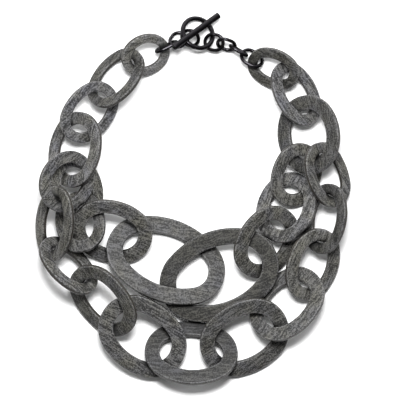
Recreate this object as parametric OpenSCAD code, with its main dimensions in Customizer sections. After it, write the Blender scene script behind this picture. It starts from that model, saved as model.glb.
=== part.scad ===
// Necklace of interlocked oval horn links, laid out flat and closed by a ring and bar clasp.
// Every link is a flat oval hoop that passes through its neighbours without touching them.
// X runs to the right and Y to the clasp, both seen from above. Z = 0 is the surface it lies on.

/* [Horn links] */
// Thickness of the narrow and middle horn links
link_t = 3.5; // [3:0.1:3.6]
// Thickness of the widest horn links
wide_link_t = 4; // [3.4:0.1:4.1]
// Band width from which a link counts as one of the widest
wide_band = 9.5; // [9.1:0.1:9.5]
// Chamfer along each edge of a horn link
edge_chamfer = 0.5; // [0.2:0.05:0.8]

/* [Bar and ring clasp] */
// Outer diameter of the ring that the bar passes through
toggle_d = 23; // [22.9:0.1:23.1]
// Wire diameter of that ring
toggle_wire = 3; // [2.5:0.05:3.1]
// Length of the bar
bar_l = 37; // [31:0.5:37]
// Diameter of the bar
bar_d = 4; // [3.5:0.05:4.05]
// Rounding of the bar's two ends
bar_end_r = 0.6; // [0.2:0.1:1.2]
// Clear diameter of the eye under the middle of the bar
eye_hole_d = 3.4; // [3.3:0.05:3.5]
// Wire diameter of the eye
eye_wire = 1.2; // [1:0.05:1.3]

/* [Small chain links] */
// Wire diameter of the small chain links
chain_wire = 2.25; // [1.8:0.05:2.3]

/* [Hidden] */
$fn = 48;

// Middle of the laid out necklace and the height of its lowest point, which become the origin
LAYOUT_MIDDLE = [-0.27, -0.6, 0.11];

// Columns of both tables. Lengths are in mm and angles in degrees.
NAME = 0;
X = 1;
Y = 2;
Z = 3;
LENGTH = 4;
BREADTH = 5;
TURN = 6;
LEAN = 7;
DIP = 8;
BAND = 9;

// Horn links, from the left end of the clasp round the outer strand to its right end,
// and then the inner strand, which runs from one joint link to the other.
// The turn is of the long axis from X. The lean and the dip tilt the link off the surface.
HORN_LINKS = [
    // name, x, y, z, length, breadth, turn, lean, dip, band
    ["left_link_1", -30, 89.5, 10, 32, 29, 359, 28, -22, 6],
    ["left_link_2", -48.5, 75, 11.5, 43.5, 32.5, 54, -38, -6, 6.5],
    ["left_link_3", -65.25, 53.75, 11.5, 42.5, 32.5, 47, 23, -5, 6.5],
    ["left_joint_link", -74, 30.25, 14, 48, 40.5, 71, -38, 7, 8],
    ["outer_link_1", -79.25, 10.25, 21.75, 41.5, 36.5, 32, 19, -28, 7.5],
    ["outer_link_2", -86.5, -16, 19.25, 50, 32, 61, -38, 29, 7.5],
    ["outer_link_3", -78.25, -42.25, 15.5, 44.5, 32.5, 318, -46, -3, 7.5],
    ["outer_link_4", -56.5, -64, 15.5, 51.5, 42, 303, 43, -7, 9],
    ["outer_link_5", -32, -86.5, 11.5, 59.5, 46, 320, 8, -11, 9.5],
    ["outer_link_6", -1.5, -97, 9.5, 58.5, 42, 356, -21, 2, 9.5],
    ["outer_link_7", 31.75, -87, 9.5, 58, 46.5, 30, 18, 3, 9.5],
    ["outer_link_8", 58.5, -66.25, 10.75, 52.5, 40.5, 46, -23, -2, 9],
    ["outer_link_9", 74.5, -41.5, 10.5, 47, 35.5, 79, 27, 11, 8],
    ["outer_link_10", 82.5, -13, 14, 44.5, 32, 79, -38, 2, 7],
    ["outer_link_11", 83.5, 14.5, 13, 42.5, 33.5, 122, 40, 13, 7],
    ["right_joint_link", 72, 39.5, 12.25, 50, 43.5, 105, -28, -9, 9],
    ["right_link_1", 64, 65.25, 9, 43.5, 30, 117, 29, -1, 7.5],
    ["right_link_2", 50, 81, 8, 34.5, 26, 345, 23, 14, 6.5],
    ["inner_link_1", -73.25, 6, 9.5, 42, 35, 115, 24, 10, 7.5],
    ["inner_link_2", -70.75, -15, 12.25, 40, 32, 104, -10, -20, 7.5],
    ["inner_link_3", -51, -21, 12, 51.5, 42.5, 338, 25, -8, 9],
    ["inner_link_4", -17.5, -39, 8.25, 77, 53, 339, -13, -2, 10.5],
    ["inner_link_5", 16, -48, 9.25, 77, 55.5, 22, 1, 5, 10.5],
    ["inner_link_6", 45.5, -27.5, 11, 48.5, 40, 60, 28, 4, 9],
    ["inner_link_7", 58, -6, 9.5, 45.5, 39, 68, -24, -2, 8.5],
    ["inner_link_8", 64.25, 14.5, 9, 41, 33, 78, 22, 10, 8],
];

// Small metal links. Those of the left chain join the bar's eye to the first horn link,
// and those of the right chain join the ring to the last one.
CHAIN_LINKS = [
    // name, x, y, z, length, breadth, turn, lean, dip
    ["left_chain_1", -17, 94.7, 7.2, 16, 10.5, 34, -77, -8],
    ["left_chain_2", -9.7, 98.9, 5.4, 13.5, 11.5, 244, 14, 31],
    ["left_chain_3", -2.1, 100.1, 6, 13, 13, 282, 23, -24],
    ["right_chain_1", 12.8, 97.4, 6.1, 14, 12, -7, 7, 15],
    ["right_chain_2", 20.5, 96, 7.2, 13.5, 11.5, -34, 48, -18],
    ["right_chain_3", 28.1, 92.3, 5.5, 14, 10.5, -15, 98, 16],
    ["right_chain_4", 36.5, 87.5, 5.8, 16, 12.5, 152, 33, -1],
];

// The bar lies across the ring, and both are placed by their middles
TOGGLE_RING = ["toggle_ring", 2.6, 103.1, 6.8, toggle_d, toggle_d, 222, 2, 31];
TOGGLE_BAR = ["toggle_bar", 1.7, 104.2, 12.8, bar_l, bar_d, 36, 0, -19];

// An oval outline of four arcs. A small radius at each end meets a large one along each side.
END_ROUNDNESS = 1.2;
LARGEST_END = 0.95;
function end_radius(row) =
    let (a = row[LENGTH] / 2, b = row[BREADTH] / 2)
    min(LARGEST_END * b, END_ROUNDNESS * b * b / a);
function end_centre(row) = row[LENGTH] / 2 - end_radius(row);
function side_radius(row) =
    let (b = row[BREADTH] / 2, r = end_radius(row), e = end_centre(row))
    (e * e + b * b - r * r) / (2 * (b - r));
function side_centre(row) = side_radius(row) - row[BREADTH] / 2;
function thickness(row) = row[BAND] >= wide_band ? wide_link_t : link_t;

// Puts a shape that lies in the XY plane where its row of the table says
module posed(row) {
    translate([row[X] - LAYOUT_MIDDLE.x, row[Y] - LAYOUT_MIDDLE.y, row[Z] - LAYOUT_MIDDLE.z])
        rotate([0, 0, row[TURN]])
            rotate([row[LEAN], 0, 0])
                rotate([0, -row[DIP], 0])
                    children();
}

// Cut through the band of a horn link, with its outer wall at the given radius
module band_profile(row, radius, inset) {
    h = thickness(row) / 2 - inset;
    c = edge_chamfer;
    inner = radius - row[BAND] + inset;
    outer = radius - inset;
    polygon([
        [inner, -h + c], [inner + c, -h], [outer - c, -h], [outer, -h + c],
        [outer, h - c], [outer - c, h], [inner + c, h], [inner, h - c],
    ]);
}

// One of the four arcs of a horn link
module band_arc(row, centre, radius, start, sweep, inset = 0) {
    translate([centre.x, centre.y, 0])
        rotate([0, 0, start])
            rotate_extrude(angle = sweep, $fn = 96)
                band_profile(row, radius, inset);
}

// Each side arc is a hairline thinner than the end arcs and reaches a little into them
SIDE_INSET = 0.05;
SIDE_REACH = 0.4;

module horn_link(row) {
    e = end_centre(row);
    s = side_centre(row);
    // Angle at which an end arc hands over to a side arc
    join = atan2(s, e);
    reach = SIDE_REACH / side_radius(row) * 180 / PI;
    color("dimgray")
        posed(row)
            for (half = [0, 180])
                rotate([0, 0, half]) {
                    band_arc(row, [e, 0], end_radius(row), -join, 2 * join);
                    band_arc(row, [0, -s], side_radius(row), join - reach,
                        180 - 2 * (join - reach), SIDE_INSET);
                }
}

// Round wire bent to a hoop with two straight sides, or to a plain ring if it is as long as broad
module wire_hoop(length, breadth, wire) {
    bend = (breadth - wire) / 2;
    half = (length - breadth) / 2;
    for (side = [0, 180])
        rotate([0, 0, side]) {
            translate([half, 0, 0])
                rotate([0, 0, -90])
                    rotate_extrude(angle = 180)
                        translate([bend, 0])
                            circle(d = wire, $fn = 24);
            if (half > 0)
                translate([-half, bend, 0])
                    rotate([0, 90, 0])
                        cylinder(h = 2 * half, d = wire, $fn = 24);
        }
}

module chain_link(row) {
    color("#1e1d22")
        posed(row)
            wire_hoop(row[LENGTH], row[BREADTH], chain_wire);
}

module toggle_ring() {
    color("#1e1d22")
        posed(TOGGLE_RING)
            rotate_extrude($fn = 96)
                translate([(toggle_d - toggle_wire) / 2, 0])
                    circle(d = toggle_wire);
}

// The bar runs along its own X, with the eye hanging under its middle in the plane of the bar
module toggle_bar() {
    // The eye's wire sinks this far into the bar
    eye_sink = eye_wire - 0.15;
    eye_bend = (eye_hole_d + eye_wire) / 2;
    color("#1e1d22")
        posed(TOGGLE_BAR) {
            translate([-bar_l / 2, 0, 0])
                rotate([0, 90, 0])
                    rotate_extrude()
                        bar_profile();
            translate([0, 0, -bar_d / 2 - eye_bend - eye_wire / 2 + eye_sink])
                rotate([90, 0, 0])
                    rotate_extrude()
                        translate([eye_bend, 0])
                            circle(d = eye_wire, $fn = 24);
        }
}

// Half of the bar's outline, from its axis to its round wall, with both rims rounded
module bar_profile() {
    r = bar_d / 2;
    translate([0, bar_end_r])
        square([r, bar_l - 2 * bar_end_r]);
    square([r - bar_end_r, bar_l]);
    for (y = [bar_end_r, bar_l - bar_end_r])
        translate([r - bar_end_r, y])
            circle(bar_end_r, $fn = 24);
}

for (row = HORN_LINKS)
    horn_link(row);
for (row = CHAIN_LINKS)
    chain_link(row);
toggle_ring();
toggle_bar();
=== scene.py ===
"""Horn link necklace, laid out flat on a white table and seen from straight above.

Each horn link, each wire link and the bar is built again as a finer mesh on its own node:
the node gives its place, tilt, oval and thickness, and this script adds the worked edges,
the uneven faces, the glued joints and the finish. Lengths are in millimetres while a mesh
is being made, and in metres in the scene.
"""
import logging
import math
import random
from collections.abc import Sequence
from dataclasses import dataclass, field
from enum import Enum

import bpy
import numpy as np
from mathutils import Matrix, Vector, noise
from mathutils.bvhtree import BVHTree


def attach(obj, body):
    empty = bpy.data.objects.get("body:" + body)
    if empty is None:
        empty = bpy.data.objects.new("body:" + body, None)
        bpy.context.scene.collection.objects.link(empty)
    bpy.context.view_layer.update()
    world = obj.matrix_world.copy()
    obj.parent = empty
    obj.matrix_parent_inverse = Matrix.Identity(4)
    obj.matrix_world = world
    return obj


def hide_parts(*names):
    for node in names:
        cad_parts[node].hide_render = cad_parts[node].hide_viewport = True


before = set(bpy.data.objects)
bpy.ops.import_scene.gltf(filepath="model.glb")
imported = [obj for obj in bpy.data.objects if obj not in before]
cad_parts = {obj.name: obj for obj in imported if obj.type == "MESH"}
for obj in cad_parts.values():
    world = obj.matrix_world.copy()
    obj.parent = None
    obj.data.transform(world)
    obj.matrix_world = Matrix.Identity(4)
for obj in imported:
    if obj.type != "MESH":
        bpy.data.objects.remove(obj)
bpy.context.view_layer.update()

LOG = logging.getLogger("necklace")
MM = 0.001
BODY = "root"

# What the image shows: 400 by 400 pixels of 0.625 mm, with its middle a little off the origin
IMAGE_WIDTH_MM = 250.0
IMAGE_MIDDLE_MM = (4.27, -0.65)


class Slot(Enum):
    """The record's material slots."""

    HORN = "horn"
    DARK_METAL = "dark_metal"


class Part(Enum):
    """What a stretch of a horn link's section belongs to."""

    FACE = 0
    RIM = 1
    WALL = 2


# Shader expressions


class Value:
    """A shader socket that can be used in Python arithmetic."""

    def __init__(self, nodes: "NodeMaker", socket: bpy.types.NodeSocket) -> None:
        """Keep the socket.

        Args:
            nodes: Maker that adds the nodes of an expression.
            socket: Output socket that holds the value.
        """
        self.nodes = nodes
        self.socket = socket

    def _math(self, operation: str, *terms: "Value | float") -> "Value":
        """Add one Math node on the given terms, in order."""
        return self.nodes.node("ShaderNodeMath", {"operation": operation}, dict(enumerate(terms)))

    def __add__(self, other: "Value | float") -> "Value":
        """Add."""
        return self._math("ADD", self, other)

    __radd__ = __add__

    def __sub__(self, other: "Value | float") -> "Value":
        """Subtract."""
        return self._math("SUBTRACT", self, other)

    def __rsub__(self, other: float) -> "Value":
        """Subtract from a number."""
        return self._math("SUBTRACT", other, self)

    def __mul__(self, other: "Value | float") -> "Value":
        """Multiply."""
        return self._math("MULTIPLY", self, other)

    __rmul__ = __mul__

    def ramp(self, low: float, high: float) -> "Value":
        """Rise smoothly from 0 where the value is low to 1 where it is high.

        Args:
            low: Value that gives 0.
            high: Value that gives 1.

        Returns:
            The risen value.
        """
        settings = {"interpolation_type": "SMOOTHSTEP"}
        return self.nodes.node("ShaderNodeMapRange", settings, {"Value": self, 1: low, 2: high})


@dataclass(frozen=True)
class Grain:
    """One noise: its cells in a unit, its finer layers, their strength, and a stretch."""

    scale: float
    detail: float
    rough: float = 0.55
    stretch: tuple[float, float, float] | None = None


class NodeMaker:
    """Adds nodes to one material or to the world."""

    def __init__(self, holder: bpy.types.Material | bpy.types.World) -> None:
        """Start an empty node tree.

        Args:
            holder: The material or world that gets the nodes.
        """
        self.holder = holder
        self.holder.use_nodes = True
        self.tree = self.holder.node_tree
        self.tree.nodes.clear()

    def node(
        self,
        kind: str,
        settings: dict[str, object],
        inputs: dict[str | int, object],
        output: str | int = 0,
    ) -> Value:
        """Add one node.

        Args:
            kind: The node's type.
            settings: Its properties, which are set first.
            inputs: Values or links of its sockets, by name or number.
            output: The output socket to return.

        Returns:
            The chosen output.
        """
        made = self.tree.nodes.new(kind)
        for key, value in settings.items():
            setattr(made, key, value)
        for key, value in inputs.items():
            if isinstance(value, Value):
                self.tree.links.new(value.socket, made.inputs[key])
            else:
                made.inputs[key].default_value = value
        return Value(self, made.outputs[output])

    def attribute(self, name: str, output: str) -> Value:
        """Read a named attribute of the mesh."""
        return self.node("ShaderNodeAttribute", {"attribute_name": name}, {}, output)

    def blend(self, share: Value | float, first: object, second: object) -> Value:
        """Mix two colours.

        Args:
            share: Share of the second colour.
            first: Colour at share 0.
            second: Colour at share 1.

        Returns:
            The mixed colour.
        """
        settings = {"data_type": "RGBA", "blend_type": "MIX", "clamp_factor": True}
        return self.node("ShaderNodeMix", settings, {0: share, 6: first, 7: second}, 2)

    def tint(self, colour: Value, grey: Value) -> Value:
        """Multiply a colour by one value in all three channels."""
        return self.node("ShaderNodeVectorMath", {"operation": "SCALE"}, {0: colour, 3: grey})

    def stretch(self, vector: Value, scale: tuple[float, float, float]) -> Value:
        """Multiply a vector by a fixed one."""
        return self.node("ShaderNodeVectorMath", {"operation": "MULTIPLY"}, {0: vector, 1: scale})

    def shift(self, vector: Value, across: Value) -> Value:
        """Move a vector sideways by a value that changes from place to place."""
        step = self.node("ShaderNodeCombineXYZ", {}, {"Y": across})
        return self.node("ShaderNodeVectorMath", {"operation": "ADD"}, {0: vector, 1: step})

    def grain(self, vector: Value, grain: Grain) -> Value:
        """Add a noise texture.

        Args:
            vector: Where the noise is read.
            grain: What the noise is like.

        Returns:
            The noise, which mostly lies between 0.3 and 0.7.
        """
        where = self.stretch(vector, grain.stretch) if grain.stretch else vector
        inputs = {
            "Vector": where,
            "Scale": grain.scale,
            "Detail": grain.detail,
            "Roughness": grain.rough,
        }
        return self.node("ShaderNodeTexNoise", {"noise_dimensions": "3D"}, inputs)

    def bump(self, height: Value, strength: float, distance: float) -> Value:
        """Turn a height into a normal."""
        inputs = {"Height": height, "Strength": strength, "Distance": distance}
        return self.node("ShaderNodeBump", {}, inputs)

    def surface(self, inputs: dict[str | int, object]) -> bpy.types.Material:
        """Finish the material with one Principled BSDF.

        Args:
            inputs: Values or links of the shader's sockets.

        Returns:
            The material.
        """
        shader = self.node("ShaderNodeBsdfPrincipled", {}, inputs)
        out = self.tree.nodes.new("ShaderNodeOutputMaterial")
        self.tree.links.new(shader.socket, out.inputs["Surface"])
        return self.holder


# Finishes


@dataclass(frozen=True)
class DyedHorn:
    """Grey dyed horn, rubbed matt, with lines of growth on the faces and streaks on the walls.

    Each share says how much its noise counts in how light the grey is. Each span holds the
    two values of a noise or mask between which its effect rises from nothing to full.
    """

    darkest: float = 0.014
    lightest: float = 0.097
    cool: tuple[float, float, float, float] = (0.975, 0.980, 1.075, 1)
    warm: tuple[float, float, float, float] = (1.040, 1.012, 0.890, 1)
    # Wall colours: a near black brown that is partly the cut horn's own and partly painted shade;
    # the streaks are the horn's own
    wall: tuple[float, float, float, float] = (0.011, 0.010, 0.009, 1)
    wall_streak: tuple[float, float, float, float] = (0.052, 0.044, 0.035, 1)
    # Light rim colour: partly worn edges, partly a painted highlight along the rims
    worn: tuple[float, float, float, float] = (0.300, 0.300, 0.310, 1)
    glue: tuple[float, float, float, float] = (0.006, 0.005, 0.004, 1)
    cloud: Grain = Grain(0.12, 2.0)
    mottle: Grain = Grain(1.15, 1.0, 0.7)
    patch: Grain = Grain(0.34, 1.0, 0.6)
    drift: Grain = Grain(0.07, 1.0)
    growth: Grain = Grain(1.0, 1.0, 0.7)
    fleck: Grain = Grain(1.0, 1.0, 0.6, (0.7, 1.9, 1.9))
    spark: Grain = Grain(1.1, 1.0, 0.6, (1.6, 0.8, 1.6))
    streak: Grain = Grain(1.0, 3.0, 0.7, (0.22, 0.22, 3.2))
    hue: Grain = Grain(0.10, 1.0)
    growth_stretch: tuple[float, float, float] = (0.10, 1.1, 1.1)
    growth_bend: float = 6.0
    grey_span: tuple[float, float] = (-0.15, 1.25)
    spark_span: tuple[float, float] = (0.60, 0.74)
    fleck_span: tuple[float, float] = (0.60, 0.72)
    streak_span: tuple[float, float] = (0.44, 0.68)
    wall_span: tuple[float, float] = (0.5, 0.95)
    wear_and_highlight_span: tuple[float, float] = (0.36, 0.62)
    middle_share: float = 0.42
    cloud_share: float = 0.8
    patch_share: float = 0.5
    mottle_share: float = 3.3
    growth_share: float = 2.7
    spark_share: float = 0.5
    fleck_depth: float = 0.4
    hue_spread: float = 1.8
    rim_wear_and_highlight: float = 0.16
    # Painted shade near other pieces: how much it darkens the colour
    painted_shade_depth: float = 0.95
    wall_cover: float = 0.9
    glue_cover: float = 0.95
    roughness: float = 0.46
    mottle_roughness: float = 0.16
    cloud_roughness: float = 0.08
    wall_polish: float = 0.10
    rim_polish: float = 0.14
    sheen: float = 0.20
    mottle_height: float = 0.6
    growth_height: float = 0.5
    fleck_height: float = 0.3
    relief: float = 0.5
    relief_depth: float = 0.00016

    def material(self) -> bpy.types.Material:
        """Make the material.

        Returns:
            The material, which reads the links' own attributes.
        """
        n = NodeMaker(bpy.data.materials.new("dyed_horn"))
        plate = n.attribute("plate", "Vector")
        wall = n.attribute("wall", "Fac")
        rim = n.attribute("rim", "Fac")
        tone = n.attribute("tone", "Fac")
        cast = n.attribute("cast", "Fac")
        glue = n.attribute("glue", "Fac")
        painted_shade = n.attribute("painted_shade", "Fac")

        cloud = n.grain(plate, self.cloud)
        mottle = n.grain(plate, self.mottle)
        patch = n.grain(plate, self.patch)
        drift = n.grain(plate, self.drift)
        bend = (drift - 0.5) * self.growth_bend
        growth = n.grain(n.shift(n.stretch(plate, self.growth_stretch), bend), self.growth)
        fleck = n.grain(plate, self.fleck)
        spark = n.grain(plate, self.spark)

        share = self.middle_share + (cloud - 0.5) * self.cloud_share
        share = share + (patch - 0.5) * self.patch_share
        share = share + (mottle - 0.5) * self.mottle_share + (growth - 0.5) * self.growth_share
        share = share + spark.ramp(*self.spark_span) * self.spark_share
        light = share.ramp(*self.grey_span)
        grey = (self.darkest + light * (self.lightest - self.darkest)) * tone
        grey = grey * (1 - fleck.ramp(*self.fleck_span) * self.fleck_depth)
        cast = cast + (n.grain(plate, self.hue) - 0.5) * self.hue_spread
        colour = n.tint(n.blend(cast, self.warm, self.cool), grey)

        streaks = n.grain(plate, self.streak)
        wall_colour_and_shade = n.blend(streaks.ramp(*self.streak_span), self.wall, self.wall_streak)
        # Walls take a near black colour, partly their own and partly painted shade
        colour = n.blend(wall.ramp(*self.wall_span) * self.wall_cover, colour, wall_colour_and_shade)
        # Lighter rims, partly wear and partly painted highlight, broken by the mottle and kept out
        # of the painted shade
        wear_and_highlight = rim * mottle.ramp(*self.wear_and_highlight_span) * (1 - painted_shade) * self.rim_wear_and_highlight
        colour = n.blend(wear_and_highlight, colour, self.worn)
        # Painted shade: darken the colour where the link lies near another piece
        shaded_colour = n.tint(colour, 1 - painted_shade * self.painted_shade_depth)
        colour = n.blend(glue * self.glue_cover, shaded_colour, self.glue)

        rough = self.roughness + mottle * self.mottle_roughness + cloud * self.cloud_roughness
        rough = rough - wall * self.wall_polish - rim * self.rim_polish
        height = mottle * self.mottle_height + growth * self.growth_height
        height = height + fleck * self.fleck_height
        normal = n.bump(height, self.relief, self.relief_depth)
        inputs = {"Base Color": colour, "Roughness": rough, "Normal": normal}
        return n.surface(inputs | {"Specular IOR Level": self.sheen})


@dataclass(frozen=True)
class DarkMetal:
    """Black plated metal, lacquered and finely scuffed."""

    plate: tuple[float, float, float, float] = (0.018, 0.0165, 0.019, 1)
    worn: tuple[float, float, float, float] = (0.050, 0.047, 0.053, 1)
    edge: tuple[float, float, float, float] = (0.10, 0.095, 0.105, 1)
    scuff: Grain = Grain(1.4, 4.0, 0.7, (0.5, 2.2, 2.2))
    cloud: Grain = Grain(0.35, 2.0)
    scuff_span: tuple[float, float] = (0.5, 0.78)
    scuff_cover: float = 0.6
    roughness: float = 0.15
    cloud_roughness: float = 0.12
    scuff_roughness: float = 0.08
    scuff_height: float = 0.6
    relief: float = 0.12
    relief_depth: float = 0.0001
    lacquer: float = 0.2
    lacquer_roughness: float = 0.08

    def material(self) -> bpy.types.Material:
        """Make the material.

        Returns:
            The material.
        """
        n = NodeMaker(bpy.data.materials.new("dark_metal"))
        lie = n.attribute("lie", "Vector")
        scuff = n.grain(lie, self.scuff)
        cloud = n.grain(lie, self.cloud)
        worn = scuff.ramp(*self.scuff_span) * self.scuff_cover
        colour = n.blend(worn, self.plate, self.worn)
        rough = self.roughness + cloud * self.cloud_roughness + scuff * self.scuff_roughness
        height = scuff * self.scuff_height + cloud
        normal = n.bump(height, self.relief, self.relief_depth)
        inputs = {"Base Color": colour, "Roughness": rough, "Normal": normal}
        inputs = inputs | {"Metallic": 1.0, "Specular Tint": self.edge}
        lacquer = {"Coat Weight": self.lacquer, "Coat Roughness": self.lacquer_roughness}
        return n.surface(inputs | lacquer)


@dataclass(frozen=True)
class WhiteTable:
    """Plain white studio table."""

    colour: tuple[float, float, float, float] = (0.93, 0.93, 0.93, 1)
    tooth: Grain = Grain(900.0, 2.0)
    roughness: float = 0.9
    relief: float = 0.02
    relief_depth: float = 0.0001

    def material(self) -> bpy.types.Material:
        """Make the material.

        Returns:
            The material, with a tooth too faint to see as a pattern.
        """
        n = NodeMaker(bpy.data.materials.new("white_table"))
        place = n.node("ShaderNodeTexCoord", {}, {}, "Object")
        normal = n.bump(n.grain(place, self.tooth), self.relief, self.relief_depth)
        inputs = {"Base Color": self.colour, "Roughness": self.roughness, "Normal": normal}
        return n.surface(inputs)


# Geometry of ovals and hoops


@dataclass
class Placing:
    """Where a node lies, in millimetres: its middle, its three axes and its half sizes.

    The reach is the clear half length of its hole, and 0 where it has none.
    """

    middle: np.ndarray
    axes: np.ndarray
    half: np.ndarray
    reach: float

    def world(self, local: np.ndarray) -> np.ndarray:
        """Turn points of the node's own frame into points of the scene.

        Args:
            local: Points in millimetres, one in each row.

        Returns:
            The points in the scene, in millimetres.
        """
        return local @ self.axes + self.middle

    def local(self, world: np.ndarray) -> np.ndarray:
        """Turn points of the scene into points of the node's own frame."""
        return (world - self.middle) @ self.axes.T


def measure(name: str) -> Placing:
    """Read a hoop's place, tilt and size from its node.

    The axes are those of the surface's spread: the longest first, then the broad one, and
    last the one square to the hoop. Each points to the side where its largest part is
    positive, and the second is turned round where the three would be left-handed. The reach
    is the clear half length of the hole along the first axis.

    Args:
        name: The node's name.

    Returns:
        The placing.
    """
    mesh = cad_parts[name].data
    points = np.zeros(len(mesh.vertices) * 3)
    mesh.vertices.foreach_get("co", points)
    points = points.reshape(-1, 3) / MM
    mesh.calc_loop_triangles()
    faces = np.array([t.vertices[:] for t in mesh.loop_triangles])
    corners = points[faces]
    normal = np.cross(corners[:, 1] - corners[:, 0], corners[:, 2] - corners[:, 0])
    area = np.linalg.norm(normal, axis=1)
    centre = corners.mean(1)
    middle = (centre * area[:, None]).sum(0) / area.sum()
    spread = centre - middle
    axes = np.linalg.eigh((spread * area[:, None]).T @ spread)[1].T[::-1]
    axes = np.array([a * np.sign(a[np.argmax(np.abs(a))]) for a in axes])
    if np.linalg.det(axes) < 0:
        axes[1] *= -1
    local = (points - middle) @ axes.T
    low, high = local.min(0), local.max(0)
    middle = middle + ((low + high) / 2) @ axes
    tree = BVHTree.FromPolygons([Vector(p) for p in local - (low + high) / 2], faces.tolist())
    hits = [tree.ray_cast(Vector((0, 0, 0)), Vector((side, 0, 0)))[3] for side in (1, -1)]
    clear = min((h for h in hits if h is not None), default=0.0)
    return Placing(middle, axes, (high - low) / 2, clear)


@dataclass
class Station:
    """One cut across a band: a point of the outline and the direction out of the oval."""

    x: float
    y: float
    out_x: float
    out_y: float
    run: float
    dent: float = 0.0


@dataclass
class Oval:
    """A closed outline of four arcs, with a small radius at each end and a large one aside."""

    half_length: float
    half_breadth: float
    end_roundness: float = 1.2
    largest_end: float = 0.95
    cut_clearance: float = 1.6
    fewest_steps: int = 6

    @property
    def end_radius(self) -> float:
        """Radius of the two end arcs."""
        a, b = self.half_length, self.half_breadth
        return min(self.largest_end * b, self.end_roundness * b * b / a)

    def arcs(self) -> list[tuple[float, float, float, float, float]]:
        """List the four arcs.

        Returns:
            For each arc its middle's x and y, its radius, and its first and last angle.
        """
        a, b, r = self.half_length, self.half_breadth, self.end_radius
        end = a - r
        side_radius = (end * end + b * b - r * r) / (2 * (b - r))
        side = side_radius - b
        join = math.atan2(side, end)
        return [
            (end, 0, r, -join, join),
            (0, -side, side_radius, join, math.pi - join),
            (-end, 0, r, math.pi - join, math.pi + join),
            (0, side, side_radius, math.pi + join, 2 * math.pi - join),
        ]

    def stations(self, step: float, cuts: Sequence[tuple[float, float, float]]) -> list[Station]:
        """Walk round the outline.

        Args:
            step: Longest distance between two stations, in millimetres.
            cuts: Glued joints, each as a point of the oval and its half width. The walk has
                extra stations at each, with the middle one dented.

        Returns:
            The stations, in order round the outline.
        """
        walk: list[Station] = []
        run = 0.0
        for x, y, r, first, last in self.arcs():
            count = max(self.fewest_steps, math.ceil(r * (last - first) / step))
            for i in range(count):
                turn = first + (last - first) * i / count
                c, s = math.cos(turn), math.sin(turn)
                walk.append(Station(x + r * c, y + r * s, c, s, run + r * (turn - first)))
            run += r * (last - first)
        for x, y, half in cuts:
            walk = self._cut(walk, run, x, y, half)
        return walk

    def _cut(
        self, walk: list[Station], length: float, x: float, y: float, half: float
    ) -> list[Station]:
        """Dent the walk where it passes nearest to a point.

        Args:
            walk: Stations so far.
            length: Length of the whole outline.
            x: Where the joint is, along the oval.
            y: Where the joint is, across the oval.
            half: Half width of the joint.

        Returns:
            The stations, with three at the joint in place of those that were there.
        """
        near = min(walk, key=lambda s: math.hypot(s.x - x, s.y - y))
        clear = self.cut_clearance * half
        kept = [s for s in walk if abs(s.run - near.run) > clear or s is near]
        shift = []
        for sign in (-1, 1):
            moved = half * sign
            shift.append(
                Station(
                    near.x - near.out_y * moved,
                    near.y + near.out_x * moved,
                    near.out_x,
                    near.out_y,
                    (near.run + moved) % length,
                )
            )
        dented = Station(near.x, near.y, near.out_x, near.out_y, near.run, 1.0)
        kept = [dented if s is near else s for s in kept] + shift
        return sorted(kept, key=lambda s: s.run)


@dataclass
class SectionPoint:
    """One point of a band's section: how far in from the outline, its height, and its part."""

    inward: float
    height: float
    part: Part


# Steps round each rim, and points across each face and down each wall, of a band's section
RIM_STEPS = 4
FACE_POINTS = 13
WALL_POINTS = 3


def band_section(width: float, thick: float, rim: float) -> list[SectionPoint]:
    """Go once round a band's section, with its four rims rounded.

    Args:
        width: Width of the band.
        thick: Thickness of the band.
        rim: Radius of the rims.

    Returns:
        The points, from the outer wall over the upper face to the inner wall and back.
    """
    points: list[SectionPoint] = []
    h = thick / 2
    corners = [
        (rim, h - rim, 180, 90),
        (width - rim, h - rim, 90, 0),
        (width - rim, rim - h, 0, -90),
        (rim, rim - h, -90, -180),
    ]
    for i, (x, z, first, last) in enumerate(corners):
        for k in range(RIM_STEPS + 1):
            turn = math.radians(first + (last - first) * k / RIM_STEPS)
            points.append(
                SectionPoint(x + rim * math.cos(turn), z + rim * math.sin(turn), Part.RIM)
            )
        start = points[-1]
        next_x, next_z, next_turn = corners[(i + 1) % 4][:3]
        stop_x = next_x + rim * math.cos(math.radians(next_turn))
        stop_z = next_z + rim * math.sin(math.radians(next_turn))
        part, count = (Part.FACE, FACE_POINTS) if i % 2 == 0 else (Part.WALL, WALL_POINTS)
        for k in range(1, count + 1):
            share = k / (count + 1)
            points.append(
                SectionPoint(
                    start.inward + (stop_x - start.inward) * share,
                    start.height + (stop_z - start.height) * share,
                    part,
                )
            )
    return points


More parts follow.
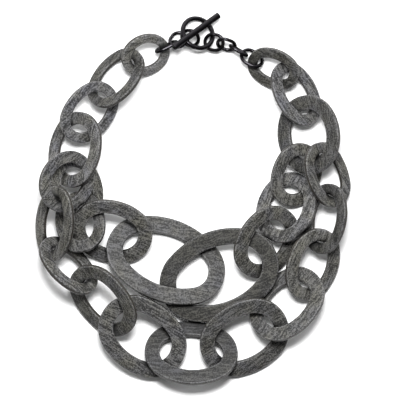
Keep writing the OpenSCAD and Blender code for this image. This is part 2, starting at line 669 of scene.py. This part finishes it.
@dataclass
class Skin:
    """Rings of points that become one closed mesh, with the attributes that its finish reads."""

    points: list[tuple[float, float, float]] = field(default_factory=list)
    faces: list[tuple[int, ...]] = field(default_factory=list)
    numbers: dict[str, list[float]] = field(default_factory=dict)
    vectors: dict[str, list[tuple[float, float, float]]] = field(default_factory=dict)

    def note(self, **values: float) -> None:
        """Store one number of each named attribute for the newest point."""
        for key, value in values.items():
            self.numbers.setdefault(key, []).append(value)

    def note_vector(self, **values: tuple[float, float, float]) -> None:
        """Store one vector of each named attribute for the newest point."""
        for key, value in values.items():
            self.vectors.setdefault(key, []).append(value)

    def close(self, rings: int, sides: int, first: int = 0, loop: bool = True) -> None:
        """Join rings of points with four-sided faces.

        Args:
            rings: Number of rings.
            sides: Points in each ring.
            first: Number of the first ring's first point.
            loop: Whether the last ring joins the first.
        """
        for i in range(rings if loop else rings - 1):
            j = (i + 1) % rings
            for k in range(sides):
                m = (k + 1) % sides
                a, b = first + i * sides, first + j * sides
                self.faces.append((a + k, b + k, b + m, a + m))

    def build(self, name: str, placing: Placing, material: bpy.types.Material) -> bpy.types.Object:
        """Make the object.

        Args:
            name: Name of the piece.
            placing: Where it lies.
            material: Its finish.

        Returns:
            The object, in the scene, smooth, with its normals outward.
        """
        world = placing.world(np.array(self.points)) * MM
        mesh = bpy.data.meshes.new(name)
        mesh.from_pydata(world.tolist(), [], self.faces)
        for key, values in self.numbers.items():
            mesh.attributes.new(key, "FLOAT", "POINT").data.foreach_set("value", values)
        for key, vectors in self.vectors.items():
            made = mesh.attributes.new(key, "FLOAT_VECTOR", "POINT")
            made.data.foreach_set("vector", np.array(vectors, float).ravel())
        mesh.validate()
        mesh.update()
        volume = sum(p.center.dot(p.normal) * p.area for p in mesh.polygons)
        if volume < 0:
            mesh.flip_normals()
        mesh.polygons.foreach_set("use_smooth", [True] * len(mesh.polygons))
        mesh.materials.append(material)
        made_object = bpy.data.objects.new(name, mesh)
        bpy.context.scene.collection.objects.link(made_object)
        return made_object


def seat(piece: bpy.types.Object, node: str) -> None:
    """Put a piece in a node's stead on the necklace's one body.

    Args:
        piece: The finished piece.
        node: Node that it stands for.
    """
    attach(piece, BODY)
    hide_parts(node)


# Horn links


@dataclass
class HornLinks:
    """All the horn links, each worked by hand from one flat plate.

    Lengths are in millimetres. A glued joint is a point of the table where a link was cut
    to take its neighbours in and closed again. A dye is a link's tone, which multiplies the
    finish's grey, and its cast, from 0 for olive to 1 for blue. A mix holds the parts that the
    long swell and the short chatter of the tool have in the waves of a face or of a wall.
    """

    rim: float = 0.6
    step: float = 0.9
    crown: float = 0.16
    face_wave: float = 0.112
    wall_wave: float = 0.14
    glue_half: float = 0.28
    glue_depth: float = 0.07
    inset: float = 0.03
    # Painted shade near other pieces: its reach in millimetres, how soon it is full, and how it
    # fades
    painted_shade_reach: float = 3.4
    painted_shade_core: float = 1.6
    painted_shade_fade: float = 1.2
    seam_step: float = 0.16
    seam_fade: float = 20.0
    largest_slant: float = 9.0
    draw_step: int = 17
    draw_start: int = 5
    seed_step: tuple[float, float, float] = (23.7, 11.3, 5.9)
    swell_scale: float = 0.11
    chatter_scale: float = 0.42
    face_mix: tuple[float, float] = (0.6, 0.4)
    wall_mix: tuple[float, float] = (0.7, 0.3)
    glued: dict[str, list[tuple[float, float]]] = field(
        default_factory=lambda: {
            "left_joint_link": [(-82.0, 12.3)],
            "inner_link_4": [(-47.0, -28.8)],
            "outer_link_6": [(-24.2, -91.6)],
            "outer_link_8": [(71.8, -48.8)],
        }
    )
    dyes: dict[str, tuple[float, float]] = field(
        default_factory=lambda: {
            "left_link_1": (1.65, 0.35),
            "left_link_2": (0.80, 0.30),
            "left_link_3": (1.50, 0.65),
            "left_joint_link": (1.45, 0.40),
            "outer_link_1": (1.20, 0.55),
            "outer_link_2": (1.25, 0.10),
            "outer_link_3": (1.30, 0.35),
            "outer_link_4": (1.05, 0.20),
            "outer_link_5": (1.25, 0.40),
            "outer_link_6": (0.55, 0.55),
            "outer_link_7": (1.10, 0.40),
            "outer_link_8": (1.05, 0.30),
            "outer_link_9": (1.45, 0.20),
            "outer_link_10": (0.70, 0.45),
            "outer_link_11": (1.15, 0.30),
            "right_joint_link": (0.75, 0.40),
            "right_link_1": (1.20, 0.75),
            "right_link_2": (0.75, 0.10),
            "inner_link_1": (1.40, 0.20),
            "inner_link_2": (0.95, 0.25),
            "inner_link_3": (1.30, 0.25),
            "inner_link_4": (0.90, 0.45),
            "inner_link_5": (0.55, 0.05),
            "inner_link_6": (1.15, 0.25),
            "inner_link_7": (1.35, 0.45),
            "inner_link_8": (1.25, 0.25),
        }
    )

    def build_all(self, names: list[str], material: bpy.types.Material) -> None:
        """Build every horn link.

        Args:
            names: Nodes of the horn links.
            material: Their finish.
        """
        for number, name in enumerate(names):
            placing = measure(name)
            skin = self.link(name, placing, number)
            self.painted_shade(skin, name, placing)
            piece = skin.build(name + "_worked", placing, material)
            seat(piece, name)
            LOG.info("%s: %d faces", piece.name, len(piece.data.polygons))

    def link(self, name: str, placing: Placing, number: int) -> Skin:
        """Work one link.

        Args:
            name: The link's node.
            placing: Where it lies and how big it is.
            number: Its number in the necklace, which varies its grain.

        Returns:
            The skin in the link's own frame.
        """
        draw = random.Random(number * self.draw_step + self.draw_start)
        half_length, half_breadth, half_thick = placing.half - self.inset
        width = placing.half[0] - placing.reach - 2 * self.inset
        cuts = []
        for x, y in self.glued.get(name, []):
            at = placing.local(np.array([[x, y, placing.middle[2]]]))[0]
            cuts.append((at[0], at[1], self.glue_half))
        oval = Oval(half_length, half_breadth)
        walk = oval.stations(self.step, cuts)
        section = band_section(width, 2 * half_thick, self.rim)
        tone, cast = self.dyes[name]
        slant = math.radians(draw.uniform(-self.largest_slant, self.largest_slant))
        seams = [s.run for s in walk if s.dent]
        length = walk[-1].run
        seed = Vector([number * step for step in self.seed_step])
        skin = Skin()
        for s in walk:
            past = min(((s.run - seam) % length for seam in seams), default=length)
            here = tone * (1 + self.seam_step * math.exp(-past / self.seam_fade))
            for p in section:
                inward, height = self.worked(p, s, width, half_thick, seed)
                x = s.x - s.out_x * inward
                y = s.y - s.out_y * inward
                skin.points.append((x, y, height))
                skin.note(
                    wall=1.0 if p.part is Part.WALL else 0.5 if p.part is Part.RIM else 0.0,
                    rim=1.0 if p.part is Part.RIM else 0.0,
                    tone=here,
                    cast=cast,
                    glue=s.dent,
                )
                along = x * math.cos(slant) + y * math.sin(slant)
                across = y * math.cos(slant) - x * math.sin(slant)
                skin.note_vector(plate=(along + seed.x, across + seed.y, height + seed.z))
        skin.close(len(walk), len(section))
        return skin

    def painted_shade(self, skin: Skin, name: str, placing: Placing) -> None:
        """Note how near each point lies to another node, for the painted shade that darkens the
        link there.

        Args:
            skin: The link's skin.
            name: The link's node.
            placing: Where the link lies.
        """
        points = placing.world(np.array(skin.points))
        low, high = points.min(0) - self.painted_shade_reach, points.max(0) + self.painted_shade_reach
        near = np.zeros(len(points))
        for other in sorted(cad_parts):
            if other == name:
                continue
            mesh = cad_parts[other].data
            corners = np.zeros(len(mesh.vertices) * 3)
            mesh.vertices.foreach_get("co", corners)
            corners = corners.reshape(-1, 3) / MM
            if (corners.min(0) > high).any() or (corners.max(0) < low).any():
                continue
            mesh.calc_loop_triangles()
            faces = [t.vertices[:] for t in mesh.loop_triangles]
            tree = BVHTree.FromPolygons(corners.tolist(), faces)
            for i, point in enumerate(points):
                away = tree.find_nearest(Vector(point), self.painted_shade_reach)[3]
                if away is not None:
                    near[i] = max(near[i], 1 - away / self.painted_shade_reach)
        skin.numbers["painted_shade"] = (np.minimum(1, near * self.painted_shade_core) ** self.painted_shade_fade).tolist()

    def worked(
        self, p: SectionPoint, s: Station, width: float, half_thick: float, seed: Vector
    ) -> tuple[float, float]:
        """Move one point of the section as a hand tool leaves it, always into the plate.

        Args:
            p: The point of the section.
            s: The station.
            width: Width of the band.
            half_thick: Half the thickness of the plate.
            seed: Place of this link in the noise.

        Returns:
            How far in the point lies, and its height.
        """
        where = Vector((s.x - s.out_x * p.inward, s.y - s.out_y * p.inward, p.height)) + seed
        swell = 0.5 + 0.5 * noise.noise(where * self.swell_scale)
        chatter = 0.5 + 0.5 * noise.noise(where * self.chatter_scale)
        side = min(p.inward, width - p.inward) / (width / 2)
        crown = self.crown * (1 - min(1.0, side)) ** 2
        face_wave = self.face_mix[0] * swell + self.face_mix[1] * chatter
        drop = self.face_wave * face_wave + crown
        height = p.height - math.copysign(drop * abs(p.height) / half_thick, p.height)
        off = (p.inward - width / 2) / (width / 2)
        wall_wave = self.wall_mix[0] * swell + self.wall_mix[1] * chatter
        pull = self.wall_wave * wall_wave * off
        inward = p.inward - pull
        if s.dent:
            height -= math.copysign(self.glue_depth * abs(p.height) / half_thick, p.height)
            inward -= self.glue_depth * off
        return inward, height


# Clasp and chain


@dataclass
class WireLinks:
    """The rings of bent round wire: the small chain links and the clasp's ring."""

    sides: int = 20
    step: float = 0.55
    joint_half: float = 0.09
    joint_depth: float = 0.16
    inset: float = 0.01
    fewest_steps: int = 24
    shortest_side: float = 0.1
    twin_distance: float = 0.02
    seed_step: float = 13.1

    def build_all(self, names: list[str], material: bpy.types.Material) -> None:
        """Build every wire ring.

        Args:
            names: Nodes of the rings.
            material: Their finish.
        """
        for number, name in enumerate(names):
            placing = measure(name)
            skin = self.ring(placing, number)
            piece = skin.build(name + "_wire", placing, material)
            seat(piece, name)
            LOG.info("%s: %d faces", piece.name, len(piece.data.polygons))

    def path(self, placing: Placing) -> list[Station]:
        """Walk round the middle line of the wire.

        Args:
            placing: Where the ring lies and how big it is.

        Returns:
            The stations. In a ring with straight sides, the one where the ends meet is dented.
        """
        half_length, half_breadth, wire = placing.half
        bend = half_breadth - wire
        straight = max(0.0, half_length - half_breadth)
        if straight < self.shortest_side:
            straight = 0.0
        walk: list[Station] = []
        run = 0.0
        count = max(self.fewest_steps, math.ceil(math.pi * bend / self.step))
        for side, first in ((1, -math.pi / 2), (-1, math.pi / 2)):
            for i in range(count):
                turn = first + math.pi * i / count
                c, s = math.cos(turn), math.sin(turn)
                walk.append(Station(side * straight + bend * c, bend * s, c, s, run))
                run += math.pi * bend / count
            if straight:
                walk.append(Station(side * straight, side * bend, 0, side, run))
                run += straight
                for shift, dent in ((self.joint_half, 0.0), (0.0, 1.0), (-self.joint_half, 0.0)):
                    if side == 1:
                        walk.append(Station(shift, bend, 0, 1, run - shift, dent))
                run += straight
                walk.append(Station(-side * straight, side * bend, 0, side, run))
        return self.without_twins(walk)

    def without_twins(self, walk: list[Station]) -> list[Station]:
        """Drop each station that lies on the one before it.

        Args:
            walk: Stations in order round the ring.

        Returns:
            The stations that are left.
        """
        kept = walk[:1]
        for s in walk[1:]:
            if math.hypot(s.x - kept[-1].x, s.y - kept[-1].y) > self.twin_distance:
                kept.append(s)
        if math.hypot(kept[0].x - kept[-1].x, kept[0].y - kept[-1].y) < self.twin_distance:
            kept.pop()
        return kept

    def ring(self, placing: Placing, number: int) -> Skin:
        """Bend one ring.

        Args:
            placing: Where it lies and how big it is.
            number: Its number, which varies its scuffs.

        Returns:
            The skin in the ring's own frame.
        """
        wire = placing.half[2] - self.inset
        walk = self.path(placing)
        seed = number * self.seed_step
        skin = Skin()
        for s in walk:
            radius = wire - self.joint_depth * s.dent
            for k in range(self.sides):
                turn = 2 * math.pi * k / self.sides
                out = radius * math.cos(turn)
                x, y, z = s.x + s.out_x * out, s.y + s.out_y * out, radius * math.sin(turn)
                skin.points.append((x, y, z))
                skin.note_vector(lie=(s.run + seed, radius * turn, z))
        skin.close(len(walk), self.sides)
        return skin


@dataclass
class ToggleBar:
    """The clasp's bar, with rounded ends and the soldered eye at its middle.

    Lengths are in millimetres. The bar is plain beyond the given share of its length from
    its middle, and the eye's scuffs are read a little aside of the bar's.
    """

    node: str = "toggle_bar"
    sides: int = 32
    end_round: float = 0.6
    eye_sides: int = 14
    eye_steps: int = 40
    end_steps: int = 6
    rod_steps: int = 24
    eye_wire: float = 1.2
    eye_hole: float = 3.4
    eye_drop: float = 0.15
    eye_shift: float = 9.0
    fillet: float = 0.2
    fillet_power: int = 8
    tip: float = 0.02
    end_slice: float = 0.05
    plain_from: float = 0.3
    inset: float = 0.01

    def build(self, material: bpy.types.Material) -> None:
        """Build the bar with its eye.

        Args:
            material: Its finish.
        """
        placing = self.place()
        skin = Skin()
        half_length, radius, _ = placing.half - self.inset
        self.rod(skin, half_length, radius)
        self.eye(skin, radius)
        piece = skin.build(self.node + "_turned", placing, material)
        seat(piece, self.node)
        LOG.info("%s: %d faces", piece.name, len(piece.data.polygons))

    def place(self) -> Placing:
        """Find the bar's axis and the side that the eye is on.

        Returns:
            The placing, with its third axis towards the eye.
        """
        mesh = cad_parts[self.node].data
        points = np.array([v.co[:] for v in mesh.vertices]) / MM
        middle = points.mean(0)
        along = np.linalg.eigh((points - middle).T @ (points - middle))[1][:, 2]
        along = along * np.sign(along[np.argmax(np.abs(along))])
        place = (points - middle) @ along
        low, high = place.min(), place.max()
        high_end = points[place > high - self.end_slice].mean(0)
        low_end = points[place < low + self.end_slice].mean(0)
        middle = (high_end + low_end) / 2
        along = (high_end - low_end) / np.linalg.norm(high_end - low_end)
        off = points - middle
        off = off - np.outer(off @ along, along)
        far = off[np.argmax(np.linalg.norm(off, axis=1))]
        down = far / np.linalg.norm(far)
        axes = np.array([along, np.cross(down, along), down])
        plain = np.abs((points - middle) @ along) > (high - low) * self.plain_from
        radius = np.linalg.norm(off[plain], axis=1).max()
        half = np.array([(high - low) / 2, radius, radius])
        return Placing(middle, axes, half, 0.0)

    def rod(self, skin: Skin, half_length: float, radius: float) -> None:
        """Turn the rod, from one end's middle to the other's.

        Args:
            skin: Skin to add to.
            half_length: Half the length of the bar.
            radius: Radius of the bar.
        """
        flat = radius - self.end_round
        profile = [(0.0, self.tip), (0.0, flat / 2)]
        for k in range(self.end_steps + 1):
            turn = math.pi / 2 * k / self.end_steps
            back = self.end_round * (1 - math.cos(turn))
            profile.append((back, flat + self.end_round * math.sin(turn)))
        count = self.rod_steps
        body = [(-half_length + x, r) for x, r in profile]
        inner = 2 * (half_length - self.end_round)
        first = -half_length + self.end_round
        body += [(first + inner * k / count, radius) for k in range(1, count)]
        body += [(half_length - x, r) for x, r in reversed(profile)]
        for x, r in body:
            for k in range(self.sides):
                turn = 2 * math.pi * k / self.sides
                y, z = r * math.cos(turn), r * math.sin(turn)
                skin.points.append((x, y, z))
                skin.note_vector(lie=(x, r * turn, z))
        skin.close(len(body), self.sides, loop=False)
        skin.faces.append(tuple(range(self.sides)))
        last = (len(body) - 1) * self.sides
        skin.faces.append(tuple(reversed(range(last, last + self.sides))))

    def eye(self, skin: Skin, radius: float) -> None:
        """Bend the eye, thicker where it is soldered to the bar.

        Args:
            skin: Skin to add to.
            radius: Radius of the bar.
        """
        first = len(skin.points)
        wire = self.eye_wire / 2
        bend = self.eye_hole / 2 + wire
        drop = radius + self.eye_hole / 2 + self.eye_drop
        for i in range(self.eye_steps):
            turn = 2 * math.pi * i / self.eye_steps
            near = max(0.0, -math.cos(turn)) ** self.fillet_power
            thick = wire + self.fillet * near
            for k in range(self.eye_sides):
                roll = 2 * math.pi * k / self.eye_sides
                out = bend + thick * math.cos(roll)
                x = out * math.sin(turn)
                z = drop + out * math.cos(turn)
                y = thick * math.sin(roll)
                skin.points.append((x, y, z))
                skin.note_vector(lie=(x, y + self.eye_shift, z))
        skin.close(self.eye_steps, self.eye_sides, first)


# Studio


@dataclass
class Studio:
    """White table, soft light from a little behind the clasp, and a camera straight above.

    Lengths are in metres, apart from the camera's own, which are in millimetres.
    """

    table_width: float = 6.0
    near_wall: float = 0.07
    far_wall: float = 0.72
    low_window: float = 2.5
    window_turn: float = 0.1
    wall_span: tuple[float, float] = (-0.5, 0.9)
    window_span: tuple[float, float] = (0.2, 0.9)
    window_top: tuple[float, float] = (0.32, 0.66)
    camera_lens: float = 800.0
    sensor: float = 36.0
    farthest_seen: float = 100.0
    middle_height: float = 0.011
    lamp_place: tuple[float, float, float] = (0.01, 0.40, 1.2)
    lamp_size: tuple[float, float] = (0.46, 0.30)
    lamp_power: float = 27.5

    def build(self) -> None:
        """Set the table, the light, the walls and the camera."""
        self.table()
        self.light()
        self.surround()
        self.camera()
        bpy.context.scene.view_settings.view_transform = "Standard"

    def table(self) -> None:
        """Lay the table under the necklace."""
        half = self.table_width / 2
        mesh = bpy.data.meshes.new("table")
        corners = [(-half, -half, 0), (half, -half, 0), (half, half, 0), (-half, half, 0)]
        mesh.from_pydata(corners, [], [(0, 1, 2, 3)])
        mesh.materials.append(WhiteTable().material())
        table = bpy.data.objects.new("table", mesh)
        bpy.context.scene.collection.objects.link(table)

    def light(self) -> None:
        """Hang one soft light that faces the necklace."""
        data = bpy.data.lights.new("softbox", "AREA")
        data.shape = "RECTANGLE"
        data.size, data.size_y = self.lamp_size
        data.energy = self.lamp_power
        lamp = bpy.data.objects.new("softbox", data)
        lamp.location = self.lamp_place
        lamp.rotation_mode = "QUATERNION"
        lamp.rotation_quaternion = (-Vector(self.lamp_place)).to_track_quat("-Z", "Y")
        bpy.context.scene.collection.objects.link(lamp)

    def surround(self) -> None:
        """Surround the table with white walls, brightest low down behind the clasp."""
        world = bpy.data.worlds.new("surround")
        n = NodeMaker(world)
        direction = n.node("ShaderNodeTexCoord", {}, {}, "Generated")
        right = n.node("ShaderNodeSeparateXYZ", {}, {0: direction}, "X")
        ahead = n.node("ShaderNodeSeparateXYZ", {}, {0: direction}, "Y")
        up = n.node("ShaderNodeSeparateXYZ", {}, {0: direction}, "Z")
        aim = ahead - right * self.window_turn
        far_share = aim.ramp(*self.wall_span)
        window_share = aim.ramp(*self.window_span) * (1 - up.ramp(*self.window_top))
        strength = self.near_wall + far_share * (self.far_wall - self.near_wall)
        strength = strength + window_share * self.low_window
        light = n.node("ShaderNodeBackground", {}, {"Color": (1, 1, 1, 1), "Strength": strength})
        out = n.tree.nodes.new("ShaderNodeOutputWorld")
        n.tree.links.new(light.socket, out.inputs["Surface"])
        bpy.context.scene.world = world

    def camera(self) -> None:
        """Put the camera straight above, far off, so that tall links don't lean outward."""
        data = bpy.data.cameras.new("camera")
        data.lens = self.camera_lens
        data.sensor_width = self.sensor
        data.clip_end = self.farthest_seen
        eye = bpy.data.objects.new("camera", data)
        above = IMAGE_WIDTH_MM * MM * self.camera_lens / self.sensor + self.middle_height
        eye.location = (IMAGE_MIDDLE_MM[0] * MM, IMAGE_MIDDLE_MM[1] * MM, above)
        bpy.context.scene.collection.objects.link(eye)
        bpy.context.scene.camera = eye


def main() -> None:
    """Build the necklace and its studio."""
    logging.basicConfig(level=logging.INFO, format="%(name)s: %(message)s")
    nodes = sorted(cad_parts)
    horn_names = [n for n in nodes if "_link" in n]
    wire_names = [n for n in nodes if "_chain_" in n or n == "toggle_ring"]
    HornLinks().build_all(horn_names, DyedHorn().material())
    metal = DarkMetal().material()
    WireLinks().build_all(wire_names, metal)
    ToggleBar().build(metal)
    Studio().build()


if __name__ == "__main__":
    main()
